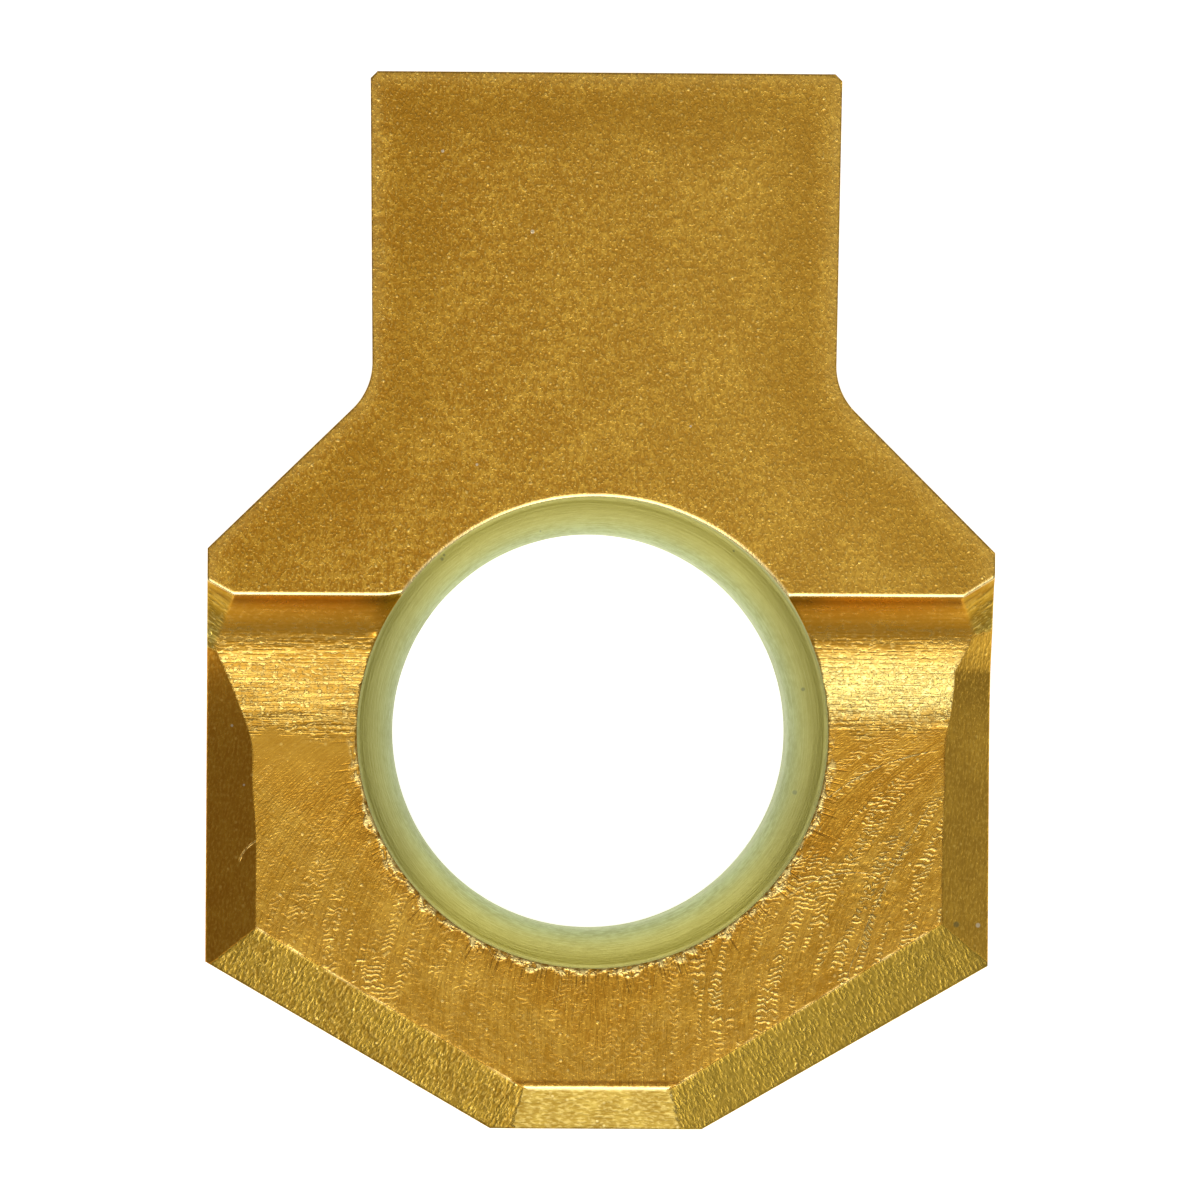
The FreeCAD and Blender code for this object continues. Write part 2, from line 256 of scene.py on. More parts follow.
def halfPlan(side):
    # four curves from the middle of the cutting edge to the middle of the base, in pairs of out and
    # reach: the bore's rim, the inner edge of the facets, the outline, how far its foot stands from it
    wall, step = side["wall"], side["stepReach"]
    tip = np.array([side["tip"], size["tipReach"]])
    root = np.array([side["root"], size["neckReach"]])
    shoulder = np.array([wall, size["shoulderReach"]])
    chamfer = size["tipChamfer"]
    down = (root - tip) / np.linalg.norm(root - tip)
    away = (shoulder - root) / np.linalg.norm(shoulder - root)
    turns = [math.atan2(down[0], -down[1]), math.atan2(away[0], -away[1])]
    tangent = size["neckRadius"] * math.tan((turns[1] - turns[0]) / 2)
    neckStart, neckEnd = root - down * tangent, root + away * tangent
    centre = neckStart + size["neckRadius"] * np.array([-down[1], down[0]])
    middle = np.array([side["sign"] * size["bladeMiddle"], size["tipReach"]])
    slide = -away * size["sideSetback"] / away[0]
    front, flank = [0, -size["frontSetback"]], [-size["sideSetback"], -size["frontSetback"]]

    rims, edges, outlines, feet = [], [], [], []

    def add(turn, outline, foot, edge=None):
        rim = rimPoint(turn)
        if edge is None:
            reach = np.linalg.norm(rim - outline, axis=1, keepdims=True)
            edge = outline + (rim - outline) * np.minimum(0.36 / reach, 0.3)
        rims.append(rim)
        edges.append(edge)
        outlines.append(outline)
        feet.append(foot)

    # blade and shoulder
    add(along(0, 24, 48), along(middle, tip - [chamfer, 0], 48), along(front, flank, 48))
    add(along(24, 24.8, 3), along(tip - [chamfer, 0], tip - [0, chamfer], 3), along(flank, flank, 3))
    add(along(24.8, 36, 50), along(tip - [0, chamfer], neckStart, 50), along(flank, slide, 50))
    swing = along(turns[0], turns[1], 14)
    arc = centre - size["neckRadius"] * np.stack([np.cos(swing), np.sin(swing)], -1)
    add(along(36, 39.5, 14), arc, along(slide, slide, 14))
    add(along(39.5, 51, 26), along(neckEnd, shoulder, 26), along(slide, [0, 0], 26))

    # along the edge of the rake face every line keeps one distance from that edge
    def level(behind):
        half = tand(side["flareTurn"] / 2)
        reach = step - behind
        crest = side["stepOut"] + behind * half
        facet = side["facetEdge"] + facetWidth(reach, side)
        inner = softMin(crest, np.where(behind < 0.4, wall, facet), 0.03)
        inner = np.where(behind < 0.4, crest, np.minimum(inner, wall - 0.15))
        high = step + (wall - side["stepOut"]) * tand(side["flareTurn"]) - behind / cosd(side["flareTurn"])
        turn = np.degrees(np.arccos(reach / size["boreRadius"]))
        return turn, np.stack([np.full_like(reach, wall), high], -1), np.stack([inner, reach], -1)

    hone = 0.135
    turnHone, outlineHone, edgeHone = level(np.array([-hone]))
    start = rimPoint(np.array([51.0]))
    inset = shoulder + (start[0] - shoulder) * 0.36 / np.linalg.norm(start[0] - shoulder)
    add(along(51, turnHone[0], 8), along(shoulder, outlineHone[0], 8), along([0, 0], [0, 0], 8),
        along(inset, edgeHone[0], 8))
    foot = size["coveRun"]
    behind = np.concatenate([along(-hone, 0, 11), along(0, 0.06, 5), along(0.06, foot, 50)])
    turn, outline, edge = level(behind)
    add(turn, outline, along([0, 0], [0, 0], len(behind)), edge)

    # side facet, lower facet, half of the base facet
    turn, outline, edge = level(np.array([foot]))
    cornerRise = (side["facetEdge"] - side["facetCorner"]) * tand(side["facetTurn"])
    cornerReach = cornerRise - size["baseFacetReach"]
    corner = np.array([side["facetEdge"], cornerReach])
    lower = np.array([wall, -size["lowerReach"]])
    base = np.array([side["baseCorner"], -size["baseReach"]])
    baseEdge = np.array([side["facetCorner"], -size["baseFacetReach"]])
    turnCorner = 180 - math.degrees(math.atan2(corner[0], -corner[1]))
    turnBase = 180 - math.degrees(math.atan2(baseEdge[0], -baseEdge[1]))
    reach = along(edge[0, 1], cornerReach, 40, "end")
    add(along(turn[0], turnCorner, 40, "end"), along(outline[0], lower, 40, "end"),
        along([0, 0], [0, 0], 40), np.stack([side["facetEdge"] + facetWidth(reach, side), reach], -1))
    add(along(turnCorner, turnBase, 84, "both"), along(lower, base, 84, "both"),
        along([0, 0], [0, 0], 84), along(corner, baseEdge, 84, "both"))
    middleOut = side["sign"] * size["bodyMiddle"]
    last = np.array([middleOut, -size["baseReach"]])
    lastEdge = np.array([middleOut, -size["baseFacetReach"]])
    add(along(turnBase, 180, 22, "start"), along(base, last, 22, "start"),
        along([0, 0], [0, 0], 22), along(baseEdge, lastEdge, 22, "start"))
    add(np.array([180.0]), last[None], np.zeros((1, 2)), lastEdge[None])
    return [np.concatenate(curve) for curve in (rims, edges, outlines, feet)]


def wholePlan():
    # down the left side, then up the right side; both middles are shared
    left, right = halfPlan(leftSide), halfPlan(rightSide)
    turned = [curve * [-1, 1] for curve in left]
    return [np.concatenate([a, b[::-1][1:-1]]) for a, b in zip(turned, right)]


def spread(length, near, count, far):
    # distances along lines of these lengths: fixed ones at both ends, even steps between
    short = np.minimum(1, length / (2.2 * max(near[-1], far[0])))[:, None]
    start, end = short * near[-1], length[:, None] - short * far[0]
    t = np.arange(1, count + 1) / (count + 1)
    parts = [short * np.array(near), start + (end - start) * t, length[:, None] - short * np.array(far)]
    return np.concatenate(parts, 1)


def lineRows(first, second, near, count, far):
    reach = np.linalg.norm(second - first, axis=1)
    t = spread(reach, near, count, far) / reach[:, None]
    return first[:, None] + (second - first)[:, None] * t[..., None]


def outlineDistance(points, outline):
    # shortest distance in plan from each point to the outline's pieces
    best = np.full(points.shape[:-1], farAway)
    for a, b in zip(outline, np.roll(outline, -1, 0)):
        run = b - a
        t = np.clip(((points - a) @ run) / (run @ run), 0, 1)
        gap = points - a - t[..., None] * run
        best = np.minimum(best, np.hypot(gap[..., 0], gap[..., 1]))
    return best


# tool marks and wear, as heights in millimetres
marks = {
    "strokeRadius": 7.0, "strokeFoot": -6.0,     # circle that the floor's strokes follow
    "coveRidge": 0.0095, "coveFine": 0.0050,
    "floorStroke": 0.0030, "floorChatter": 0.0042,
    "facetRough": 0.0026, "sideStroke": 0.0024, "flareGroove": 0.009,
    "rakeWave": 0.0012, "rimTear": 0.013, "seatWave": 0.003,
    "lowerTurn": 32.0, "flareClimb": 38.0,       # degrees that marks there are turned from sideways
}

# where the wheel chattered on the floor: middle and spread in millimetres, then strength
busyPatches = [
    ((5.8, -2.9), (1.7, 2.0), 0.95),
    ((3.6, -5.3), (1.8, 1.0), 0.6),
    ((-4.7, -4.6), (1.5, 1.4), 0.45),
]


def strokePlace(x, y):
    # the floor was ground by a wheel whose strokes stand upright low down and bend to the right higher
    # up, along a circle: across = x - (radius - the root of (radius squared - rise squared))
    radius, start = marks["strokeRadius"], marks["strokeFoot"]
    rise = np.clip(y - start, 0, radius * 0.97)
    bend = radius - np.sqrt(radius ** 2 - rise ** 2)
    past = y - start - radius * 0.97
    length = radius * np.arcsin(rise / radius) + np.minimum(y - start, 0) + np.maximum(past, 0)
    return x - bend - np.maximum(past, 0) * 1.5, length


zones = ["rake", "ground", "sideFacet", "lowerFacet", "baseFacet", "seat", "wall"]
zoneNumber = {name: index for index, name in enumerate(zones)}

# fields on the points that the finishes read
placeFields = ["grain", "hollowGrain", "flareGrain", "rimPlace"]
valueFields = ["hollow", "flared", "busy", "honedSheenAndShade", "border"]


def topSurface(x, y):
    # height of each point of the upper side, the lowest of the rake face with its hollow and the
    # facets, with the zone it belongs to and the fields that the finishes read
    isLeft = x < 0
    rimGap = np.hypot(x, y) - size["boreRadius"]
    curl = size["edgeCurl"] * np.exp(-(rimGap / 0.16) ** 2) * isLeft * (y > 2)
    heights, behinds, turneds, facets = [], [], [], []
    for side in (leftSide, rightSide):
        out = x * side["sign"]
        straight, turned, behind = behindStep(out, y, side)
        cove, flare = coveHeight(straight + curl), flareHeight(out, y, turned, side)
        heights.append(softMin(cove, flare, 0.01))
        behinds.append(behind + curl)
        turneds.append(cove - flare)
        facets.append(facetHeights(out, y, side))
    step, behind = np.where(isLeft, *heights), np.where(isLeft, *behinds)
    flared = ease(-0.02, 0.06, np.where(isLeft, *turneds)) * (behind > 0)
    sideFacet, lowerFacet, baseFacet, lowerFlat, baseFlat, past, pastBase = [
        np.where(isLeft, a, b) for a, b in zip(*facets)]
    lowest = np.stack([step, sideFacet, lowerFacet, baseFacet]).argmin(0)
    stepZone = np.where(behind < 0.02, zoneNumber["rake"], zoneNumber["ground"])
    facetZones = [zoneNumber[name] for name in ("sideFacet", "lowerFacet", "baseFacet")]
    zone = np.choose(lowest, [stepZone, *facetZones])
    height = softMin(step, sideFacet, 0.012)
    for plane, reach in ((lowerFlat, 0.006), (lowerFacet, 0.01), (baseFlat, 0.005), (baseFacet, 0.008)):
        height = softMin(height, plane, reach)
    isRake, isGround = zone == zoneNumber["rake"], zone == zoneNumber["ground"]
    across, length = strokePlace(x, y)
    out = np.abs(x)
    relief = np.zeros_like(x)

    # rake face: barely waved
    relief += isRake * marks["rakeWave"] * softNoise(x, y, 0.9, 1.3, 11)

    # hollow: ridges along it that fade out towards the edge, finer and more broken on the right
    hollow = 1 - ease(2.66, 2.90, behind + 0.20 * softNoise(x, y, 0.5, 0.3, 25))
    band = ease(0.5, 1.5, behind) * hollow * (1 - flared)
    band *= 1 - 0.6 * np.exp(-((behind - 1.7) / 0.4) ** 2)
    band *= 1 - 0.5 * ease(2.45, 2.85, behind)
    ridges = softNoise(x, behind, 2.3, 0.095, 21) + 0.8 * softNoise(x, behind, 0.7, 0.055, 22)
    cells = softNoise(x, behind, 0.16, 0.075, 23) + 0.6 * softNoise(x, behind, 0.09, 0.06, 24)
    share = np.where(isLeft, 1.0, 0.5)
    cellShare = np.where(isLeft, 1.0, 1.5) * ease(0.9, 1.5, behind)
    coveRelief = marks["coveRidge"] * share * ridges + marks["coveFine"] * cellShare * cells
    relief += isGround * band * coveRelief

    # floor: upright strokes, and short waves across them where the wheel chattered
    lowDown = ease(0.4, -2.0, y)
    busy = 0.10
    for (middleX, middleY), (spreadX, spreadY), amount in busyPatches:
        busy = busy + amount * np.exp(-((x - middleX) / spreadX) ** 2 - ((y - middleY) / spreadY) ** 2)
    busy = np.clip(busy * (1 + 0.5 * softNoise(x, y, 0.8, 0.8, 31)), 0, 1.3)
    strokes = softNoise(across, length, 0.075, 1.1, 33) + 0.6 * softNoise(across, length, 0.05, 0.6, 34)
    chatter = softNoise(across, length, 0.11, 0.055, 35)
    onFloor = isGround * (1 - hollow)
    relief += onFloor * marks["floorStroke"] * strokes * (np.where(isLeft, 0.12, 0.3) + 0.65 * lowDown)
    relief += onFloor * marks["floorChatter"] * chatter * busy

    # torn metal beside the lower rim of the bore
    turn = np.arctan2(x, -y) * size["boreRadius"]
    tear = np.exp(-np.clip(rimGap, 0, None) / 0.17) * ease(0.6, -1.5, y)
    relief += isGround * marks["rimTear"] * tear * (softNoise(turn, rimGap, 0.12, 0.22, 41) - 0.2)

    # facets: rough ones low down, smooth ones at the sides with strokes that follow the floor's
    lowerTurn = marks["lowerTurn"]
    edgeWay = out * cosd(lowerTurn) + y * sind(lowerTurn)
    fallWay = out * sind(lowerTurn) - y * cosd(lowerTurn)
    rough = (softNoise(edgeWay, fallWay, 0.11, 0.17, 51) + 0.7 * softNoise(edgeWay, fallWay, 0.06, 0.09, 52)
             + 0.5 * softNoise(x, y, 0.3, 0.3, 53))
    onFacet = ease(0.02, 0.09, past)
    relief += (zone == zoneNumber["lowerFacet"]) * onFacet * marks["facetRough"] * rough
    wavy = softNoise(x + 0.3 * y, y, 0.24, 0.09, 54) + 0.7 * softNoise(x, y, 0.12, 0.055, 55)
    onBase = ease(0.04, 0.12, pastBase)
    relief += (zone == zoneNumber["baseFacet"]) * onBase * marks["facetRough"] * 0.8 * wavy
    relief += (zone == zoneNumber["sideFacet"]) * marks["sideStroke"] * softNoise(across, length, 0.09, 0.9, 56)

    # turned ends of the hollow: grooves that climb outwards
    climb = marks["flareClimb"]
    grooveAcross = y * cosd(climb) - out * sind(climb)
    grooveAlong = out * cosd(climb) + y * sind(climb)
    grooves = softNoise(grooveAlong, grooveAcross, 0.9, 0.13, 61)
    grooves = grooves + 0.4 * softNoise(grooveAlong, grooveAcross, 0.2, 0.07, 62)
    relief += isGround * flared * marks["flareGroove"] * grooves * ease(0.05, 0.3, behind)

    # places along the tool marks, two numbers for each zone
    grain = np.stack([across, length], -1)
    for name, pair in (("rake", (x, y)), ("sideFacet", (x - 0.12 * y, y)),
                       ("lowerFacet", (edgeWay, fallWay)), ("baseFacet", (y, x))):
        grain = np.where((zone == zoneNumber[name])[..., None], np.stack(pair, -1), grain)

    # lines along the worn edges above 0, their real wear painted brighter as a painted highlight, and painted
    # shaded lines beside them below 0
    honedSheenAndShade = np.exp(-((behind + 0.014) / 0.028) ** 2) - 0.5 * np.exp(-((behind - 0.13) / 0.05) ** 2)
    worn = np.minimum(creaseWear(out, y), 1)
    honedSheenAndShade += (lowest != 1) * 0.5 * worn * np.exp(-(past / 0.022) ** 2) * (pastBase < -0.05)
    honedSheenAndShade += (np.abs(past) > 0.02) * (past < 0) * np.exp(-((pastBase - 0.005) / 0.032) ** 2)
    honedSheenAndShade -= 0.8 * (past < 0) * np.exp(-((pastBase + 0.105) / 0.035) ** 2)
    fields = {
        "grain": grain, "hollowGrain": np.stack([behind, x], -1),
        "flareGrain": np.stack([grooveAcross, grooveAlong], -1), "rimPlace": np.stack([turn, rimGap], -1),
        "hollow": hollow * isGround, "flared": flared * isGround, "busy": busy, "honedSheenAndShade": honedSheenAndShade,
    }
    return height + relief, zone, fields


def rimDrop(gap, x, y):
    # narrow flat round the bore: even where it cuts the rake face, small and torn elsewhere
    turn = np.arctan2(x, y) * size["boreRadius"]
    torn = 0.02 + 0.03 * np.clip(softNoise(turn, turn * 0, 0.07, 1, 42) + 0.3, 0, None)
    width = np.where(y > 2.79, size["rimHone"], torn)
    return np.clip(width - gap, 0, None) * tand(size["rimHoneSlope"])


def insertGrid():
    # the whole insert as one closed grid: lines round the bore by rows round the section, that is
    # the upper side from the bore's rim to the outline, the walls, the back, and up the bore
    rim, edge, outline, foot = wholePlan()
    fineNear = [0, 0.012, 0.028, 0.045, 0.065, 0.09, 0.125, 0.17]
    inner = lineRows(rim, edge, fineNear, 44, [0.12, 0.08, 0.05, 0.028, 0.012, 0])
    outer = lineRows(edge, outline, [0, 0.012, 0.028, 0.05, 0.08, 0.12], 7,
                     [0.1, 0.06, 0.035, 0.018, 0.006, 0])
    top = np.concatenate([inner, outer[:, 1:]], 1)
    x, y = top[..., 0], top[..., 1]
    height, zone, fields = topSurface(x, y)
    gap = fields["rimPlace"][..., 1]
    height = height - rimDrop(gap, x, y)
    border = outlineDistance(top, outline[::3])
    border[:, -1] = 0
    roundOff = 0.03
    height = height - 0.5 * np.clip(roundOff - border, 0, None) ** 2 / roundOff
    upper = y > 2.75
    # a painted highlight along the bore's upper rim
    fields["honedSheenAndShade"] = fields["honedSheenAndShade"] * (gap > 0.0) + upper * np.exp(-((gap - 0.015) / 0.035) ** 2)
    fields["border"] = border
    for name in placeFields:
        fields[name] = np.concatenate([fields[name], 0 * fields[name][..., :1]], -1)
    parts = {name: [values] for name, values in fields.items()}
    parts["point"], parts["zone"] = [np.dstack([x, y, height])], [zone]
    resting = {"hollow": 0.0, "flared": 0.0, "busy": 0.0, "honedSheenAndShade": 0.0, "border": 9.0}

    def addRows(rows, name, *grain):
        parts["point"].append(rows)
        parts["zone"].append(np.full(rows.shape[:2], zoneNumber[name]))
        places = np.stack([*grain, 0 * grain[0]][:3], -1)
        for field in placeFields:
            parts[field].append(places)
        for field, value in resting.items():
            parts[field].append(np.full(rows.shape[:2], value))

    # walls lean in towards their foot
    lines = len(outline)
    crest = height[:, -1]
    down = spread(crest, [0.012, 0.035, 0.08], 8, [0.08, 0.04, 0.015])
    z = crest[:, None] - down
    plan = outline[:, None] + foot[:, None] * (1 - z / size["top"])[..., None]
    tuck = np.array([0.0] * (down.shape[1] - 1) + [0.004])
    centred = outline / np.linalg.norm(outline, axis=1, keepdims=True)
    plan = plan - centred[:, None] * tuck[:, None]
    addRows(np.dstack([plan[..., 0], plan[..., 1], z]), "wall", z, plan[..., 0], plan[..., 1])

    # back, from the outline's foot to the screw hole
    radial = rim / size["boreRadius"]
    holeEdge = radial * (size["holeRadius"] + 0.03)
    backStart = outline + foot - centred * 0.02
    back = lineRows(backStart, holeEdge, [0, 0.03], 8, [0.03, 0])
    flat = back[..., 0]
    addRows(np.dstack([flat, back[..., 1], flat * 0]), "wall", flat, back[..., 1])

    # up the screw hole, over the curved seat, up the wider bore
    lift = np.linspace(0.03, size["seatFoot"], 5)[:-1]
    swing = np.linspace(0, math.asin((size["seatTop"] - size["seatFoot"]) / size["seatRadius"]), 18)
    seatOut = size["holeRadius"] + size["seatRadius"] * (1 - np.cos(swing))
    seatUp = size["seatFoot"] + size["seatRadius"] * np.sin(swing)
    holeProfile = np.stack([lift * 0 + size["holeRadius"], lift], -1)
    profile = np.concatenate([holeProfile, np.stack([seatOut, seatUp], -1)])
    slanted = rim[:, :1] + 1.7 * rim[:, 1:] + 0 * profile[:, 0]
    wave = marks["seatWave"] * softNoise(slanted, 0 * slanted + profile[:, 1], 1.6, 0.11, 71)
    radius = profile[:, 0] + wave
    rows = np.dstack([radial[:, :1] * radius, radial[:, 1:] * radius, profile[:, 1] + 0 * radius])
    addRows(rows, "seat", profile[:, 1] + 0 * radius, rim[:, :1] + 0 * radius, rim[:, 1:] + 0 * radius)
    start, end = size["seatTop"], height[:, 0]
    t = np.array([0.06, 0.25, 0.5, 0.75, 0.93])
    z = start + (end - start)[:, None] * t
    rows = np.dstack([radial[:, :1] * size["boreRadius"] + 0 * z, radial[:, 1:] * size["boreRadius"] + 0 * z, z])
    addRows(rows, "seat", z, rim[:, :1] + 0 * z, rim[:, 1:] + 0 * z)
    joined = {name: np.concatenate(pieces, 1) for name, pieces in parts.items()}
    print("insert grid:", joined["zone"].shape)
    return joined


def gridFaces(lines, rows):
    # quads between neighbouring lines and rows, closed both ways
    i, j = np.meshgrid(np.arange(lines), np.arange(rows), indexing="ij")
    here, right = i * rows + j, (i + 1) % lines * rows + j
    up, both = i * rows + (j + 1) % rows, (i + 1) % lines * rows + (j + 1) % rows
    return np.stack([here, up, both, right], -1).reshape(-1, 4)


def meshObject(name, points, faces, materials, materialOf=None):
    mesh = bpy.data.meshes.new(name)
    mesh.vertices.add(len(points))
    mesh.vertices.foreach_set("co", np.ascontiguousarray(points, np.float32).ravel())
    corners = faces.shape[1]
    mesh.loops.add(faces.size)
    mesh.loops.foreach_set("vertex_index", faces.astype(np.int32).ravel())
    mesh.polygons.add(len(faces))
    mesh.polygons.foreach_set("loop_start", np.arange(0, faces.size, corners, dtype=np.int32))
    for material in materials:
        mesh.materials.append(material)
    if materialOf is not None:
        mesh.polygons.foreach_set("material_index", materialOf.astype(np.int32))
    mesh.polygons.foreach_set("use_smooth", np.ones(len(faces), bool))
    mesh.update(calc_edges=True)
    mesh.validate()
    made = bpy.data.objects.new(name, mesh)
    bpy.context.scene.collection.objects.link(made)
    return made


class Signal:
    # one socket of a material; arithmetic on it adds Math nodes to the same tree
    def __init__(self, tree, socket=None):
        self.tree, self.socket = tree, socket

    def node(self, kind, settings=None, inputs=None, output=0):
        made = self.tree.nodes.new(kind)
        for name, value in (settings or {}).items():
            setattr(made, name, value)
        for key, value in (inputs or {}).items():
            if isinstance(value, Signal):
                self.tree.links.new(value.socket, made.inputs[key])
            else:
                made.inputs[key].default_value = value
        return Signal(self.tree, made.outputs[output] if made.outputs else None)

    def math(self, operation, *values):
        return self.node("ShaderNodeMath", {"operation": operation}, dict(enumerate(values)))

    def __add__(self, other):
        return self.math("ADD", self, other)

    def __sub__(self, other):
        return self.math("SUBTRACT", self, other)

    def __rsub__(self, other):
        return self.math("SUBTRACT", other, self)

    def __mul__(self, other):
        return self.math("MULTIPLY", self, other)

    def __truediv__(self, other):
        return self.math("DIVIDE", self, other)

    __radd__, __rmul__ = __add__, __mul__

    def rise(self, low, high):
        # 0 below low, 1 above high, smooth between
        return self.node("ShaderNodeMapRange", {"interpolation_type": "SMOOTHSTEP"},
                         {"Value": self, "From Min": low, "From Max": high, "To Min": 0.0, "To Max": 1.0})

    def stretch(self, factors):
        return self.node("ShaderNodeVectorMath", {"operation": "MULTIPLY"}, {0: self, 1: factors})

    def noise(self, cell, detail=2.0, roughness=0.5):
        return self.node("ShaderNodeTexNoise", None,
                         {"Vector": self, "Scale": 1 / cell, "Detail": detail, "Roughness": roughness})

    def blend(self, first, second):
        # colours first and second, with this signal as the share of the second
        return self.node("ShaderNodeMix", {"data_type": "RGBA"}, {0: self, 6: first, 7: second}, 2)


def rgb(*values):
    return (*values, 1.0)


# each layer of marks: cell across and along the tool marks in millimetres, the part of the noise that
# rises, its height in millimetres, how much it keeps to busy columns (0 everywhere, 1 there only) and
# how much painted highlight its crests get, pale being the painted glint colour of crests
# and specks; columns has their width and length, mottle a cell and its strength, ladder the pitch,
# width, length, height and painted highlight of the chatter's rungs
finishes = {
    "rake": {
        "deep": rgb(0.44, 0.195, 0.012), "light": rgb(0.765, 0.435, 0.052), "pale": rgb(1.0, 0.69, 0.19),
        "roughness": 0.31, "mottle": (0.17, 0.9),
        "layers": [(0.050, 0.100, 0.34, 0.66, 0.0022, 0.0, 0.0), (0.09, 0.16, 0.38, 0.66, 0.0022, 0.0, 0.0),
                   (0.040, 0.055, 0.52, 0.72, 0.0036, 0.0, 0.42)],
        "contrast": 0.38, "speck": 0.60, "speckCell": 0.13, "patch": 1.3, "coat": 0.05,
    },
    "floor": {
        "deep": rgb(0.45, 0.205, 0.0145), "light": rgb(0.76, 0.420, 0.051), "pale": rgb(1.0, 0.68, 0.19),
        "roughness": 0.22,
        "layers": [(0.055, 0.70, 0.35, 0.65, 0.0030, 0.0, 0.0), (0.060, 0.080, 0.38, 0.72, 0.0022, 0.0, 0.0),
                   (0.12, 0.045, 0.60, 0.70, 0.0080, 0.75, 0.4)],
        "mottle": (0.25, 0.5), "ladder": (0.108, 0.20, 0.60, 0.0125, 1.30),
        "columns": (0.30, 1.9), "contrast": 0.30, "speck": 0.35, "speckCell": 0.15, "patch": 0.9, "coat": 0.05,
    },
    "cove": {
        "deep": rgb(0.39, 0.190, 0.015), "light": rgb(0.68, 0.405, 0.056), "pale": rgb(1.0, 0.76, 0.25),
        "roughness": 0.29, "mottle": (0.2, 0.5),
        "layers": [(0.060, 1.60, 0.42, 0.60, 0.0056, 0.0, 0.14), (0.060, 0.13, 0.48, 0.66, 0.0060, 0.0, 0.36),
                   (0.040, 0.060, 0.35, 0.75, 0.0020, 0.0, 0.0)],
        "contrast": 0.32, "speck": 0.30, "speckCell": 0.14, "patch": 0.8, "coat": 0.05,
    },
    "flare": {
        "deep": rgb(0.42, 0.245, 0.021), "light": rgb(0.84, 0.62, 0.092), "pale": rgb(1.0, 0.78, 0.28),
        "roughness": 0.34, "mottle": (0.2, 0.6),
        "layers": [(0.15, 1.20, 0.36, 0.66, 0.0085, 0.0, 0.15), (0.05, 0.14, 0.46, 0.68, 0.0034, 0.0, 0.30)],
        "contrast": 0.40, "speck": 0.4, "speckCell": 0.15, "patch": 0.7, "coat": 0.05,
    },
    "sideFacet": {
        "deep": rgb(0.31, 0.120, 0.007), "light": rgb(0.66, 0.34, 0.032), "pale": rgb(0.95, 0.62, 0.14),
        "roughness": 0.31, "mottle": (0.3, 0.6),
        "layers": [(0.05, 0.30, 0.35, 0.65, 0.0026, 0.0, 0.0), (0.045, 0.09, 0.46, 0.70, 0.0028, 0.0, 0.3)],
        "contrast": 0.36, "speck": 0.35, "speckCell": 0.15, "patch": 0.8, "coat": 0.03,
    },
    "lowerFacet": {
        "deep": rgb(0.30, 0.160, 0.012), "light": rgb(0.54, 0.350, 0.040), "pale": rgb(1.0, 0.68, 0.18),
        "roughness": 0.28, "mottle": (0.2, 0.35),
        "layers": [(0.07, 0.16, 0.35, 0.68, 0.0019, 0.0, 0.05), (0.06, 0.10, 0.44, 0.68, 0.0016, 0.0, 0.22)],
        "contrast": 0.20, "speck": 0.4, "speckCell": 0.15, "patch": 0.6, "coat": 0.05,
    },
    "baseFacet": {
        "deep": rgb(0.33, 0.195, 0.021), "light": rgb(0.52, 0.370, 0.068), "pale": rgb(0.95, 0.76, 0.30),
        "roughness": 0.43, "mottle": (0.2, 0.35),
        "layers": [(0.05, 0.22, 0.35, 0.68, 0.0018, 0.0, 0.05), (0.06, 0.13, 0.44, 0.68, 0.0016, 0.0, 0.22)],
        "contrast": 0.20, "speck": 0.4, "speckCell": 0.15, "patch": 0.6, "coat": 0.05,
    },
    # the seat's pale greenish colours are a painted reflection of the white table
    "seat": {
        "deep": rgb(0.35, 0.360, 0.098), "light": rgb(0.50, 0.54, 0.215), "pale": rgb(0.9, 0.85, 0.6),
        "roughness": 0.36, "mottle": (0.18, 1.1),
        "layers": [(0.06, 1.6, 0.35, 0.65, 0.0022, 0.0, 0.0), (0.05, 0.10, 0.3, 0.7, 0.0016, 0.0, 0.0)],
        "contrast": 0.34, "speck": 0.0, "speckCell": 0.3, "patch": 0.9, "coat": 0.1,
    },
    "wall": {
        "deep": rgb(0.42, 0.23, 0.022), "light": rgb(0.70, 0.42, 0.065), "pale": rgb(0.95, 0.70, 0.24),
        "roughness": 0.30, "mottle": (0.3, 0.5),
        "layers": [(0.05, 0.9, 0.35, 0.65, 0.0040, 0.0, 0.0), (0.05, 0.07, 0.35, 0.75, 0.0030, 0.0, 0.1)],
        "contrast": 0.32, "speck": 0.25, "speckCell": 0.2, "patch": 1.2, "coat": 0.05,
    },
}

# thin arcs in millimetres: centre, radius, x from and to, y from and to, half width
scratches = {
    "ground": [((7.60, -4.745), 4.46, 4.70, 7.05, -1.60, 0.0, 0.019),
               ((5.32, -4.91), 2.11, 3.9, 5.8, -3.4, -2.6, 0.015),
               ((22.0, -10.77), 17.81, 5.1, 7.0, -5.0, -1.2, 0.012)],
    "sideFacet": [((-6.44, -2.87), 0.733, -7.2, -6.50, -2.80, -2.05, 0.026)],
}

# dust and stains: place and radius in millimetres, then colour
spots = {
    "rake": [((-1.31, 10.10), 0.050, "dust"), ((-3.13, 11.71), 0.040, "dust"), ((1.9, 6.2), 0.03, "dust"),
             ((-2.4, 5.4), 0.035, "dust")],
    "sideFacet": [((7.85, -3.86), 0.06, "dust"), ((7.40, -3.84), 0.08, "stain"), ((-7.3, 0.1), 0.035, "dust"),
                  ((-7.05, -1.1), 0.03, "dust")],
    "seat": [((-3.06, 3.50), 0.045, "stain"), ((-3.02, 3.58), 0.035, "stain"), ((-1.05, 4.08), 0.025, "stain"),
             ((2.86, 3.70), 0.03, "stain"), ((4.15, -1.2), 0.06, "stain"), ((4.3, 0.9), 0.05, "stain")],
}
